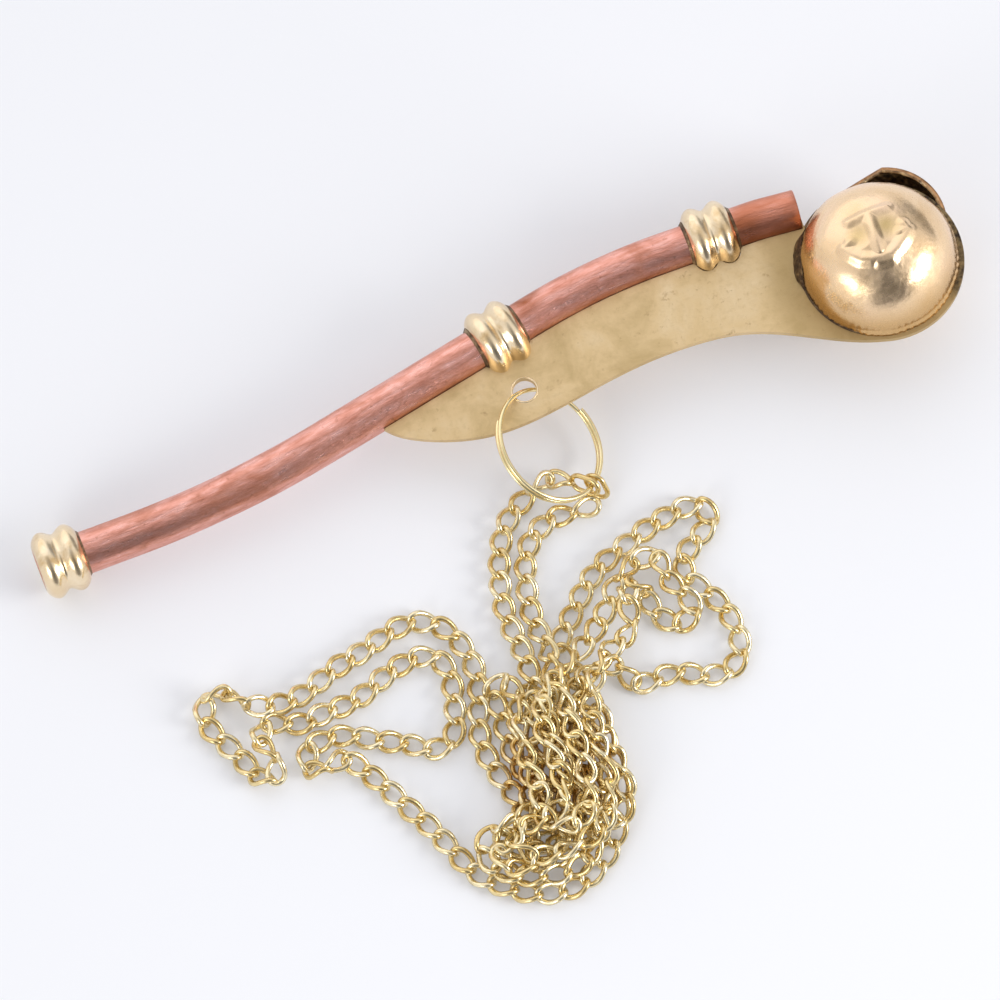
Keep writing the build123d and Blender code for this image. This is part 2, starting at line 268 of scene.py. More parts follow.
# ---------------------------------------------------------------- materials
# Distances in materials are in metres, from a place or from the ball's centre.
def chain_gold():
    """Gilt links, each with its own tone, and painted warm shade where they lie deep in the heap."""
    n = Nodes("chain_gold")
    tone = n.node("ShaderNodeAttribute", attribute_name="tone").outputs["Fac"]
    grain = n.noise(n.mapped(), 900, 3)
    colour = n.ramp(tone, (0.0, (0.80, 0.62, 0.29)),
                    (0.5, (0.89, 0.74, 0.41)), (1.0, (0.95, 0.84, 0.56)))
    colour = n.mix(n.ramp(grain, (0.42, 0.0), (0.78, 0.45)), colour, (0.50, 0.34, 0.13))
    heap = Vector((-9, -48, 0)) * MM
    # Painted shade: low links near the heap's middle are mixed towards warm brown.
    heap_shade = n.maths("MULTIPLY", n.beyond(DOWN, 0.0056, 0.0086), n.near(heap, 0.0050, 0.0095))
    colour = n.mix(n.maths("MULTIPLY", heap_shade, 0.75), colour, (0.62, 0.38, 0.13))
    rough = n.ramp(grain, (0.2, 0.17), (0.8, 0.32))
    return n.finish(colour, rough, n.bump(grain, 0.00003, 0.4))


def ring_gold():
    """The split ring's bright wire."""
    n = Nodes("ring_gold")
    grain = n.noise(n.mapped(), 500, 3)
    colour = n.ramp(grain, (0.3, (0.86, 0.72, 0.38)), (0.7, (0.93, 0.81, 0.50)))
    rough = n.ramp(grain, (0.2, 0.14), (0.8, 0.26))
    return n.finish(colour, rough)


def copper():
    """Drawn copper: streaks along the tube, which is u of its UV map, and a warm patina."""
    n = Nodes("copper")
    uv = n.node("ShaderNodeUVMap", uv_map="tube").outputs["UV"]
    streaks = n.noise(n.mapped((5, 22, 1), vector=uv), 1.0, 5, 0.6)
    fine = n.noise(n.mapped((16, 160, 1), vector=uv), 1.0, 3, 0.6)
    patina = n.noise(n.mapped((150, 200, 200)), 1.0, 5, 0.6, 0.7)
    specks = n.noise(n.mapped(), 1400, 2)
    colour = n.ramp(streaks, (0.28, (0.58, 0.23, 0.16)), (0.5, (0.80, 0.38, 0.30)),
                    (0.70, (0.93, 0.53, 0.47)))
    colour = n.mix(n.ramp(fine, (0.45, 0.0), (0.75, 0.40)), colour, (0.55, 0.21, 0.14))
    colour = n.mix(n.ramp(patina, (0.52, 0.0), (0.66, 0.55)), colour, (0.50, 0.19, 0.11))
    colour = n.mix(n.ramp(specks, (0.64, 0.0), (0.74, 0.4)), colour, (0.36, 0.14, 0.09))
    scorch = n.near(lie(-45.2, 10.6, 2.3), 0.0006, 0.0034)
    scorch = n.maths("MAXIMUM", scorch, n.near(lie(-15.0, 9.4, 2.0), 0.0010, 0.0030))
    scorch = n.maths("MULTIPLY", scorch, n.ramp(patina, (0.30, 0.2), (0.55, 1.0)))
    colour = n.mix(scorch, colour, (0.33, 0.10, 0.04))
    reddened = n.maths("MULTIPLY", n.near(lie(-10.5, 10, 1.5), 0.0040, 0.0070), 0.65)
    colour = n.mix(reddened, colour, (0.55, 0.19, 0.10))
    rough = n.ramp(streaks, (0.25, 0.36), (0.75, 0.24))
    rough = n.mix(n.ramp(patina, (0.5, 0.0), (0.7, 0.6)), rough, (0.46, 0.46, 0.46))
    height = n.bump(streaks, 0.00022, 0.5)
    height = n.bump(fine, 0.00005, 0.7, height)
    height = n.bump(patina, 0.00010, 0.4, height)
    return n.finish(colour, rough, height)


def keel_brass():
    """The plate's dull brass: rolling lines, pits, torch scorch, and painted shade round the ball."""
    n = Nodes("keel_brass")
    mottle = n.noise(n.mapped(), 140, 5, 0.6, 0.4)
    fine = n.noise(n.mapped(), 1500, 3, 0.6)
    pits = n.noise(n.mapped(), 700, 4, 0.7)
    lines = n.noise(n.mapped((60, 1900, 400), rotation=(0, 0, 0.12)), 1.0, 3)
    colour = n.ramp(mottle, (0.3, (0.60, 0.45, 0.23)), (0.52, (0.75, 0.57, 0.32)),
                    (0.75, (0.82, 0.65, 0.41)))
    colour = n.mix(n.ramp(fine, (0.5, 0.0), (0.8, 0.35)), colour, (0.55, 0.40, 0.21))
    colour = n.mix(n.ramp(pits, (0.62, 0.0), (0.75, 0.7)), colour, (0.38, 0.24, 0.11))
    # Painted shade: a mottled band of plate round the ball's foot is mixed towards dark brown.
    stain_and_shade = n.maths("MULTIPLY", n.near(BALL, 0.0115, 0.0165), n.ramp(mottle, (0.35, 0.35), (0.6, 0.9)))
    colour = n.mix(stain_and_shade, colour, (0.42, 0.29, 0.12))
    scorch = n.maths("MULTIPLY", n.beyond(U_DIR, 0.0050, 0.0085), n.ramp(pits, (0.40, 1.0), (0.62, 0.45)))
    scorch = n.maths("MULTIPLY", scorch, n.beyond(V_DIR, -0.0095, -0.0065))
    colour = n.mix(scorch, colour, (0.055, 0.04, 0.03))
    # Painted shade: the plate is darkened almost to black in the hood's mouth.
    mouth = n.near(lie(-3.2, 10.6), 0.0018, 0.0034)
    colour = n.mix(mouth, colour, (0.10, 0.07, 0.04))
    rough = n.ramp(mottle, (0.3, 0.60), (0.7, 0.48))
    height = n.bump(lines, 0.00004, 0.5)
    height = n.bump(pits, 0.00008, 0.5, height)
    return n.finish(colour, rough, height)


def ferrule_brass():
    """Turned brass, polished and then handled."""
    n = Nodes("ferrule_brass")
    grain = n.noise(n.mapped(), 350, 4, 0.55, 0.3)
    stain_and_shade = n.noise(n.mapped(), 240, 4, 0.6, 0.5)
    turned = n.noise(n.mapped((5000, 200, 200)), 1.0, 2)
    colour = n.ramp(grain, (0.3, (0.83, 0.65, 0.41)), (0.6, (0.92, 0.76, 0.53)),
                    (0.8, (0.95, 0.81, 0.61)))
    colour = n.mix(n.ramp(stain_and_shade, (0.52, 0.0), (0.68, 0.7)), colour, (0.62, 0.40, 0.16))
    rough = n.ramp(grain, (0.3, 0.27), (0.7, 0.16))
    height = n.bump(turned, 0.00002, 0.4)
    height = n.bump(grain, 0.0003, 0.25, height)
    return n.finish(colour, rough, height)


def dome_brass():
    """The ball's polished brass, with painted reflections: olive between the anchor's arms, browner low
    down.
    """
    n = Nodes("dome_brass")
    broad = n.noise(n.mapped(), 130, 4, 0.5, 0.8)
    fine = n.noise(n.mapped(), 1500, 3)
    colour = n.ramp(broad, (0.3, (0.82, 0.57, 0.32)), (0.5, (0.92, 0.68, 0.43)),
                    (0.75, (0.95, 0.70, 0.49)))
    # Painted dark reflection: the hollows beside the anchor's shank are mixed towards olive.
    hollow_reflection = n.maths("MAXIMUM", n.near(lie(-2.4, 0.9, 9.9), 0.0002, 0.0022),
                    n.near(lie(1.7, 0.9, 10.0), 0.0002, 0.0025))
    hollow_reflection = n.maths("MULTIPLY", hollow_reflection, n.ramp(broad, (0.35, 0.45), (0.6, 0.8)))
    colour = n.mix(hollow_reflection, colour, (0.60, 0.44, 0.17))
    # Painted reflection of the brass plate: the dome's foot, on its -v and -u sides, is mixed towards brown.
    foot_reflection = n.maths("MAXIMUM", n.beyond(-V_DIR, -0.001, 0.007), n.beyond(-U_DIR, 0.003, 0.009))
    foot_reflection = n.maths("MULTIPLY", foot_reflection, n.beyond(-W_DIR, -0.0070, -0.0020))
    colour = n.mix(n.maths("MULTIPLY", foot_reflection, 0.8), colour, (0.58, 0.35, 0.13))
    rough = n.ramp(fine, (0.3, 0.21), (0.75, 0.33))
    height = n.bump(broad, 0.0006, 0.35)
    height = n.bump(fine, 0.00003, 0.5, height)
    return n.finish(colour, rough, height)


def hood_brass():
    """Brass, browned by the torch outside and speckled inside."""
    n = Nodes("hood_brass")
    heat = n.noise(n.mapped(), 260, 5, 0.6, 1.0)
    fine = n.noise(n.mapped(), 1300, 4, 0.6)
    outside = n.ramp(heat, (0.30, (0.20, 0.11, 0.06)), (0.45, (0.46, 0.25, 0.12)),
                     (0.60, (0.66, 0.37, 0.18)), (0.78, (0.78, 0.56, 0.30)))
    inside = n.ramp(fine, (0.35, (0.20, 0.13, 0.08)), (0.55, (0.46, 0.33, 0.19)),
                    (0.70, (0.85, 0.66, 0.38)))
    centre = lie(HOOD_OUT * math.cos(HOOD_ANGLE), HOOD_OUT * math.sin(HOOD_ANGLE))
    # The wall's middle parts the inside from the outside.
    colour = n.mix(n.near(centre, 0.00755, 0.00765), outside, inside)
    rough = n.ramp(fine, (0.3, 0.30), (0.7, 0.55))
    height = n.bump(heat, 0.0004, 0.5)
    height = n.bump(fine, 0.0002, 0.8, height)
    return n.finish(colour, rough, height)


def dark_solder():
    """The ferrules' solder, with flux left on it."""
    n = Nodes("dark_solder")
    lumps = n.noise(n.mapped(), 900, 5, 0.65)
    colour = n.ramp(lumps, (0.35, (0.09, 0.06, 0.04)), (0.55, (0.24, 0.16, 0.09)),
                    (0.75, (0.50, 0.38, 0.22)))
    rough = n.ramp(lumps, (0.3, 0.65), (0.7, 0.35))
    height = n.bump(lumps, 0.0004, 0.8)
    return n.finish(colour, rough, height, 0.85)


def seam_solder():
    """Solder that the torch has darkened."""
    n = Nodes("seam_solder")
    lumps = n.noise(n.mapped(), 1100, 5, 0.65)
    colour = n.ramp(lumps, (0.35, (0.05, 0.032, 0.022)), (0.55, (0.13, 0.085, 0.05)),
                    (0.72, (0.36, 0.26, 0.14)))
    rough = n.ramp(lumps, (0.3, 0.60), (0.7, 0.35))
    return n.finish(colour, rough, n.bump(lumps, 0.0004, 0.8), 0.9)


SEAM = seam_solder()
CHAIN, RING, COPPER, HOOD = chain_gold(), ring_gold(), copper(), hood_brass()
KEEL, FERRULE, DOME, SOLDER = keel_brass(), ferrule_brass(), dome_brass(), dark_solder()


# ---------------------------------------------------------------- neck chain
# The route from the split ring and back to it, in millimetres: two leads, the loops to the
# left and right of the heap, and the runs through the heap between them.
LEAD_A = [
    (4.9, -12.3, 3), (4.1, -10.6, 2), (2.5, -10.2, 1.2), (0.5, -11, 0.8), (-1.5, -12, 0.8),
    (-4, -13.5, 0.8), (-6, -16.5, 0.8), (-7.5, -20.5, 0.8), (-8.5, -24.5, 0.8), (-8.5, -28.5, 0.8),
    (-8, -32, 1.6), (-8.5, -36.5, 2.2),
]
HEAP_1 = [
    (-8, -41, 2.2), (-8, -45, 2.2), (-7.5, -50, 2.2), (-7.5, -54.5, 2.2), (-8.5, -58.5, 2.2),
    (-11.5, -60, 2.2), (-15, -59, 2.2), (-16.5, -56.5, 2.2),
]
LEFT = [
    (-15, -53, 1.6), (-15.5, -49.5, 0.8), (-16.8, -46, 0.8), (-17.5, -42.5, 0.8), (-17, -39, 0.8),
    (-15.5, -35.5, 0.8), (-14.5, -32, 0.8), (-15, -28.5, 0.8), (-16, -25.5, 0.8), (-18.5, -23, 0.8),
    (-21.5, -22.5, 0.8), (-24.5, -23.3, 0.8), (-27.5, -24.5, 0.8), (-30.5, -25, 0.8),
    (-33.5, -26, 0.8), (-36.5, -27.5, 0.8), (-39.5, -27.8, 1.4), (-42.5, -27.8, 2.4),
    (-44.5, -26.5, 2.6), (-46, -24.5, 2), (-47.2, -23.3, 1.2), (-48.8, -23.9, 0.8),
    (-49.8, -25.3, 0.8), (-50, -27, 0.8), (-49, -29.5, 0.8), (-48, -31, 0.8), (-47, -33, 0.8),
    (-46.3, -35.3, 0.9), (-45.6, -36.8, 1.2), (-44.2, -37.4, 1.9), (-43, -36.6, 2.6),
    (-43.1, -35, 3), (-43.9, -33.4, 3.1), (-44.4, -31.8, 2.6), (-43.5, -30, 1.6), (-41.5, -29.5, 1),
    (-40, -30.5, 0.8), (-38, -31.5, 0.8), (-35.5, -30.5, 0.8), (-33, -30.7, 0.8),
    (-30.5, -30.5, 0.8), (-28, -29.5, 0.8), (-25, -28, 0.8), (-22, -27.5, 0.8), (-19.5, -27.5, 0.8),
    (-18, -29.5, 0.8), (-18, -32.5, 0.8), (-19, -35.5, 0.8), (-19.5, -38.5, 0.8), (-21, -40, 0.8),
    (-23.5, -40.5, 0.8), (-25.3, -38.8, 0.8), (-27.5, -37.5, 0.8), (-30, -36.5, 0.8),
    (-32, -35, 0.8), (-34.5, -34, 0.8), (-37, -34, 0.8), (-39, -34.5, 0.8), (-39.5, -36.5, 0.8),
    (-39, -38, 1.2), (-37.5, -38.5, 2.2), (-36, -37.5, 2.4), (-34.5, -37.5, 1.4), (-33, -39, 0.8),
    (-32, -41, 0.8), (-30.5, -43.5, 0.8), (-29.2, -46.5, 0.8), (-27.5, -49.2, 0.8),
    (-26.2, -52.3, 0.8), (-25.1, -55.2, 0.8), (-23.5, -58.5, 0.8),
]
HEAP_2 = [
    (-20.5, -61, 0.8), (-17.5, -63, 0.8), (-13.5, -64, 0.8), (-10, -63, 0.8),
    (-7, -61, 0.8), (-4.5, -58, 0.8), (-3, -54.5, 0.8), (-2, -51, 0.8), (-2, -47, 0.8),
    (-2, -43.5, 0.8), (-2, -40, 0.8), (-2.5, -37, 0.8),
]
RIGHT = [
    (-3.5, -34, 0.8), (-3.5, -31.5, 0.8), (-1.3, -29.8, 0.8), (1, -27.2, 0.8), (3.2, -25, 0.8),
    (5.5, -23.5, 0.8), (8, -22.5, 0.8), (11, -21.5, 0.8), (13.5, -20.5, 0.8), (16.5, -20, 0.8),
    (18.8, -19.4, 0.8), (20.6, -20.1, 0.8), (21.4, -21.6, 0.8), (20.6, -23.2, 0.8),
    (18.8, -24.1, 0.8), (16.8, -25.2, 0.8), (15, -27, 0.8), (15.5, -29.5, 0.8), (17, -31.5, 0.8),
    (18.5, -34, 0.8), (19, -37, 0.8), (19, -40, 0.8), (17.5, -42.5, 0.8), (14.5, -43, 0.8),
    (12, -42, 0.8), (10, -40.5, 0.8), (7.5, -40.5, 0.8), (5.5, -41, 0.8), (4, -40.5, 0.8),
    (3.5, -39, 1.4), (2.5, -37.5, 2.4), (1.5, -37, 3),
]
HEAP_3 = [
    (-1, -37.5, 3.6), (-4, -39, 3.6), (-5, -42, 3.6), (-5, -46, 3.6),
    (-4.5, -50, 3.6), (-5, -54, 3.6), (-6.5, -57.5, 3.4), (-8.5, -60.5, 2.8), (-12, -62, 2.2),
    (-15.5, -61.5, 2.2), (-19.5, -60, 2.2), (-22, -57.5, 2.2), (-22.5, -55, 2.4), (-20, -53.5, 3),
    (-17, -53.5, 3.6), (-13.5, -53, 3.6), (-11.5, -50.5, 3.6), (-11, -47, 3.6), (-11, -43, 3.6),
    (-11, -39.5, 3.4), (-11, -36, 2.6), (-12.5, -34, 1.6), (-14, -35.5, 0.8), (-13.5, -38.5, 0.8),
    (-14, -42, 0.8), (-14, -46, 0.8), (-12, -49, 0.8), (-10.5, -52.5, 0.8), (-11, -55.5, 0.8),
    (-13.5, -57, 0.8), (-17, -56.5, 0.8), (-20, -55.5, 0.9), (-18.5, -54, 2.2), (-16, -55, 5),
    (-12.5, -55, 5), (-9.5, -53, 5), (-8.5, -49, 5), (-9, -45.5, 5), (-8.5, -41.5, 5),
    (-7, -38.5, 5), (-4.5, -36.5, 4.4),
]
RIGHT_2 = [
    (-1.5, -34.5, 3.2), (1, -32.5, 2.2), (3.5, -30.5, 2.2), (5, -28.5, 2.2), (7, -26, 2.2),
    (9.5, -25, 2.2), (12, -24.5, 2.2), (13, -26, 2.2), (12.5, -28.5, 2.2), (13.5, -30.5, 2.2),
    (15, -32.5, 2.2), (14.5, -34.5, 1.4), (12, -35, 0.8), (10.5, -33.5, 0.8), (9.5, -31.5, 0.8),
    (9.5, -29.5, 0.8), (9, -27, 0.8), (6.5, -29, 3.6), (6.5, -31.5, 3.6), (6.5, -33.5, 2.6),
    (5, -34.5, 2.2), (2.5, -35, 2.6),
]
HEAP_4 = [
    (-1, -39, 5), (-3, -42, 5), (-3.5, -46, 5), (-3.5, -49.5, 5), (-4, -53.5, 5),
    (-5.5, -57, 4.8), (-8, -59, 4.4), (-11.5, -59.5, 4.4), (-14.5, -59.5, 4.4), (-17.5, -58.5, 4),
    (-18.5, -56, 4.2), (-15.5, -52, 2.2), (-13, -50, 2.2), (-13, -46, 2.2), (-12.5, -42, 2.2),
    (-11.5, -38, 1.2), (-9, -36.5, 0.8), (-7.5, -38.5, 0.8), (-7, -42, 0.8), (-6, -46, 0.8),
    (-5.5, -49.5, 0.8), (-6, -53.5, 0.8), (-7.5, -56.5, 0.8), (-9.5, -58, 0.9), (-10, -56, 3.4),
    (-9.5, -50, 6.2), (-10, -46, 6.2), (-9.5, -42, 6.2), (-7.5, -38, 5.2),
]
HEAP_5 = [
    (-5.8, -36.8, 5.4), (-5.6, -40, 6.4), (-6.4, -44, 6.5), (-6.2, -48, 6.5), (-6.6, -52, 6.3),
    (-7.4, -55.5, 6), (-9.8, -57.3, 5.6), (-12.6, -56.8, 5.4), (-14.2, -54, 4.8), (-12.4, -51.2, 5),
    (-13.2, -48, 4.8), (-12.6, -44.5, 4.7), (-12.2, -41, 4.7), (-9.8, -38.2, 4.4),
    (-7.4, -40.5, 3.6), (-8, -44, 3.6), (-7.2, -47.5, 3.6), (-8.2, -51, 3.6), (-7.4, -54.6, 3.4),
    (-5.4, -57.6, 2.4), (-3.2, -57, 1.9), (-1.9, -53.6, 2.4), (-1.5, -50, 2.7), (-2.3, -46, 2.7),
    (-1.4, -42.4, 2.5), (-3, -39.2, 2.4), (-6, -38.4, 2.2), (-9.6, -40.5, 1.8), (-9.8, -44.5, 1.9),
    (-10.2, -48.5, 1.9), (-11.8, -52, 2.4), (-14.2, -54.6, 2.3), (-17.4, -55.4, 2.4),
    (-20.8, -56.4, 3.6), (-20.4, -58.8, 3.5), (-17, -60.4, 3.4), (-13.2, -58.3, 2.9),
    (-10.2, -56, 2), (-9.4, -52.6, 1.9), (-5.8, -49.5, 2), (-5.4, -45.5, 2), (-4.8, -41.8, 2),
    (-6.4, -38, 3.2),
]
LEAD_B = [
    (-5.5, -35, 3.6), (-5, -32, 2.2), (-5.5, -28, 0.8), (-5, -24.5, 0.8), (-4, -20.5, 0.8),
    (-2.5, -17.5, 0.8), (0.5, -15.5, 0.8), (3, -15.2, 0.8), (5.2, -16, 0.8), (7.6, -15.7, 1.6),
]
ROUTE = LEAD_A + HEAP_1 + LEFT + HEAP_2 + RIGHT + HEAP_3 + RIGHT_2 + HEAP_4 + HEAP_5 + LEAD_B

# Where loose links lie tumbled: x, y and how far round it, in millimetres.
TUMBLED = [(1.6, -10.2, 2.6), (6.5, -15.5, 3.0), (-46.5, -25.0, 4.5), (-25.6, -36.5, 2.2),
           (-37.5, -37.5, 2.6), (-44.0, -34.5, 3.0), (3.0, -37.5, 3.0), (8.0, -27.5, 3.0)]
LINK_PITCH = 3.15 * MM
LINK_LENGTH = 4.55 * MM
LINK_WIDTH = 3.15 * MM
LINK_WIRE = 0.76 * MM
LINK_TWIST = math.radians(45)       # at half a pitch from the link's middle
SQUARENESS = 0.85                   # of the link's oval; 1 is an ellipse
FLAT_ROLL, PILED_ROLL, TUMBLED_ROLL = 6, 48, 16   # degrees, each added to the one before
FLOOR_GAP = 0.02 * MM


def route_line(points):
    """The smooth line through a route: a NURBS spline with its points as control points."""
    curve = bpy.data.curves.new("route", "CURVE")
    curve.dimensions = "3D"
    spline = curve.splines.new("NURBS")
    spline.points.add(len(points) - 1)
    for point, place in zip(spline.points, points):
        point.co = (place[0] * MM, place[1] * MM, place[2] * MM, 1)
    spline.order_u = 3
    spline.use_endpoint_u = True
    spline.resolution_u = 10
    holder = bpy.data.objects.new("route", curve)
    line = bpy.data.meshes.new_from_object(holder)
    places = np.array([tuple(v.co) for v in line.vertices])
    bpy.data.objects.remove(holder)
    return places


def along(line, distances):
    """Places on a line at distances along it, and the line's length."""
    reach = np.concatenate(([0], np.cumsum(np.linalg.norm(np.diff(line, axis=0), axis=1))))
    return np.stack([np.interp(distances, reach, line[:, k]) for k in range(3)], axis=1), reach[-1]


def link_shape():
    """One curb link: an oval of round wire, twisted along the chain. Columns are along, across, up."""
    around, section = 28, 8
    a, b = (LINK_LENGTH - LINK_WIRE) / 2, (LINK_WIDTH - LINK_WIRE) / 2
    verts = []
    for i in range(around):
        t = 2 * math.pi * i / around
        c, s = math.cos(t), math.sin(t)
        x = a * math.copysign(abs(c) ** SQUARENESS, c)
        y = b * math.copysign(abs(s) ** SQUARENESS, s)
        out = Vector((c / a, s / b, 0)).normalized()
        twist = -LINK_TWIST * x / (LINK_PITCH / 2)
        for j in range(section):
            p = 2 * math.pi * j / section
            px = x + out.x * math.cos(p) * LINK_WIRE / 2
            py = y + out.y * math.cos(p) * LINK_WIRE / 2
            pz = math.sin(p) * LINK_WIRE / 2
            verts.append((px, py * math.cos(twist) - pz * math.sin(twist),
                          py * math.sin(twist) + pz * math.cos(twist)))
    return np.array(verts), grid_faces(around, section)


def link_roll(k, at):
    """How far link k, at a place, is rolled about the chain: little on the floor, much in the heap."""
    piled = max(0.0, min(1.0, (at.z - 1.4 * MM) / (2 * MM)))
    for x, y, reach in TUMBLED:
        away = math.hypot(at.x - x * MM, at.y - y * MM)
        piled = max(piled, 1.6 * smooth(reach * MM, 0.3 * reach * MM, away))
    most = FLAT_ROLL + PILED_ROLL * min(piled, 1.0) + TUMBLED_ROLL * max(piled - 1.0, 0.0)
    return math.radians(most) * (math.sin(k * 1.7) + 0.6 * math.sin(k * 0.61 + 1))


def make_chain():
    """The neck chain, link by link along its route, with none below the floor."""
    line = route_line(ROUTE)
    total = along(line, [0])[1]
    count = round(total / LINK_PITCH)
    pitch = total / count
    base, base_faces = link_shape()
    verts, faces, tones = [], [], []
    for k in range(count):
        middle = (k + 0.5) * pitch
        ends, _ = along(line, [middle - pitch / 2, middle + pitch / 2])
        centre, _ = along(line, [middle])
        forward = Vector(ends[1] - ends[0]).normalized()
        at = Vector(centre[0]) * 0.5 + Vector((ends[0] + ends[1]) / 2) * 0.5
        roll = link_roll(k, at)
        across = forward.cross(DOWN).normalized()
        up = forward.cross(across)
        side = across * math.cos(roll) + up * math.sin(roll)
        top = up * math.cos(roll) - across * math.sin(roll)
        offset = len(verts)
        link = [at + forward * s + side * t + top * n for s, t, n in base]
        lift = max(0.0, FLOOR_GAP - min(p.z for p in link))
        verts.extend(p + Vector((0, 0, lift)) for p in link)
        faces.extend(tuple(offset + i for i in f) for f in base_faces)
        tones.extend([0.5 + 0.5 * math.sin(k * 2.399)] * len(base))
    chain = mesh_object("neck_chain", verts, faces)
    layer = chain.data.attributes.new("tone", "FLOAT", "POINT")
    layer.data.foreach_set("value", tones)
    dress(chain, CHAIN)
    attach(chain, "chain")
    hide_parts("chain_lead_a", "chain_left_loops", "chain_right_loop", "chain_lead_b", "chain_heap")


make_chain()


# ---------------------------------------------------------------- blowing tube
# The tube's two ends and, between them, the corners where its straight runs would meet, in the
# call's plane. Each corner has its bend's radius.
TUBE_CORNERS = [(-116.1, -1.65), (-89.6, -1.2), (-35.2, 10.75), (-13.0, 10.8), (-7.4, 10.35)]
BEND_RADII = [140, 85, 30]
TUBE_R, BORE_R, CHAMFER = 2.85, 2.25, 0.12
TUBE_STEP = 1.2                     # between the tube's rows of vertices
STREAK_LENGTH = 18.0                # of tube for each unit of its UV map


def tube_line():
    """The tube's centreline in the call's plane: its straight runs and the bends between."""
    places = [Vector(TUBE_CORNERS[0])]
    for before, here, after, radius in zip(TUBE_CORNERS, TUBE_CORNERS[1:], TUBE_CORNERS[2:], BEND_RADII):
        p, q, r = Vector(before), Vector(here), Vector(after)
        a, b = (p - q).normalized(), (r - q).normalized()
        half = (math.pi - a.angle(b)) / 2
        reach = radius * math.tan(half)
        middle = q + (a + b).normalized() * (radius / math.cos(half))
        start, end = q + a * reach, q + b * reach
        steps = max(4, round(2 * half * radius / TUBE_STEP))
        for k in range(steps + 1):
            offset = (start - middle).lerp(end - middle, k / steps)
            places.append(middle + offset.normalized() * radius)
    places.append(Vector(TUBE_CORNERS[-1]))
    dense = []
    for p, q in zip(places, places[1:]):
        steps = max(1, round((q - p).length / TUBE_STEP))
        dense += [p.lerp(q, k / steps) for k in range(steps)]
    return dense + [places[-1]]


def map_tube(tube, around, reaches):
    """The tube's UV map: u along it and v round it."""
    layer = tube.data.uv_layers.new(name="tube")
    for polygon in tube.data.polygons:
        columns = [v % around for v in polygon.vertices]
        wraps = max(columns) - min(columns) > 1
        for loop, column in zip(polygon.loop_indices, columns):
            place = reaches[tube.data.loops[loop].vertex_index // around]
            turn = (column + around if wraps and column == 0 else column) / around
            layer.data[loop].uv = (place / STREAK_LENGTH, turn)


def make_tube():
    """The blowing tube, drawn down by hand: long shallow flats along a round tube."""
    line = tube_line()
    around = 96
    reach = [0.0]
    for p, q in zip(line, line[1:]):
        reach.append(reach[-1] + (q - p).length)
    verts, reaches = [], []

    def row(index, radius, shift=0.0):
        """One ring of vertices: on the outside, worn a little under size by flats and dents."""
        p, s = line[index], reach[index]
        ahead = (line[min(index + 1, len(line) - 1)] - line[max(index - 1, 0)]).normalized()
        side = Vector((-ahead.y, ahead.x))
        for j in range(around):
            a = 2 * math.pi * j / around
            r = radius
            if radius > BORE_R + CHAMFER + 0.01:
                flats = 0.030 * math.cos(5 * a + 0.5 + 0.010 * s) + 0.018 * math.cos(9 * a + 1.3 - 0.012 * s)
                dents = 0.020 * math.sin(0.31 * s + 2 * a) * math.sin(0.13 * s + 1.1)
                r = radius - (0.04 - flats - dents)
            q = p + ahead * shift + side * (r * math.cos(a))
            verts.append(tuple(lie(q.x, q.y, r * math.sin(a))))
        reaches.append(s + shift)

    last = len(line) - 1
    row(0, BORE_R, CHAMFER)
    row(0, BORE_R + CHAMFER)
    row(0, TUBE_R - CHAMFER)
    row(0, TUBE_R, CHAMFER)
    for index in range(1, last):
        row(index, TUBE_R)
    row(last, TUBE_R, -CHAMFER)
    row(last, TUBE_R - CHAMFER)
    row(last, BORE_R + CHAMFER)
    row(last, BORE_R, -CHAMFER)
    for index in range(last - 1, 0, -1):
        row(index, BORE_R)
    tube = mesh_object("blowing_tube", verts, grid_faces(len(reaches), around))
    map_tube(tube, around, reaches)
    dress(tube, COPPER)
    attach(tube, "call")
    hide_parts("gun_tube")


make_tube()


# ---------------------------------------------------------------- turned rings
# Half a ring's outline, from its middle: the place along the tube, and the radius there.
BEAD_PROFILE = [(0.0, 3.68), (0.30, 3.80), (0.70, 4.13), (1.10, 4.38), (1.50, 4.50), (1.90, 4.45),
                (2.35, 4.20), (2.75, 3.78), (3.00, 3.30), (3.05, 2.95)]


def make_ferrule(name, node, u, run, grow=1.0, drop=0.0):
    """A turned ring of two beads, worn soft, round the tube at u on one of its straight runs."""
    start, end = Vector(TUBE_CORNERS[run]), Vector(TUBE_CORNERS[run + 1])
    ahead = (end - start).normalized()
    side = Vector((-ahead.y, ahead.x))
    centre = start + (end - start) * ((u - start.x) / (end.x - start.x))
    half_length = BEAD_PROFILE[-1][0]
    outline = [(-x, r) for x, r in reversed(BEAD_PROFILE)] + BEAD_PROFILE[1:]
    outline += [(half_length, TUBE_R + 0.01), (-half_length, TUBE_R + 0.01)]
    around = 120
    verts = []
    for x, r in outline:
        bead = r > 3
        for j in range(around):
            a = 2 * math.pi * j / around
            wear = 0.03 * math.sin(3 * a + x) * math.sin(1.7 * a - 2 * x) if bead else 0.0
            reach = r * (grow if bead else 1.0) + wear
            q = centre + ahead * x + side * (reach * math.cos(a) - (drop if bead else 0.0))
            verts.append(lie(q.x, q.y, reach * math.sin(a)))
    ring = mesh_object(name, verts, grid_faces(len(outline), around, flip=True))
    finer = ring.modifiers.new("finer", "SUBSURF")
    finer.levels = 1
    finer.render_levels = 1
    dress(ring, FERRULE)
    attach(ring, "call")
    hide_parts(node)


make_ferrule("mouth_ferrule", "mouth_ring", -113.1, 0)
make_ferrule("middle_ferrule", "middle_ring", -50.0, 1, 1.03, 0.15)
make_ferrule("exit_ferrule", "exit_ring", -19.3, 2)


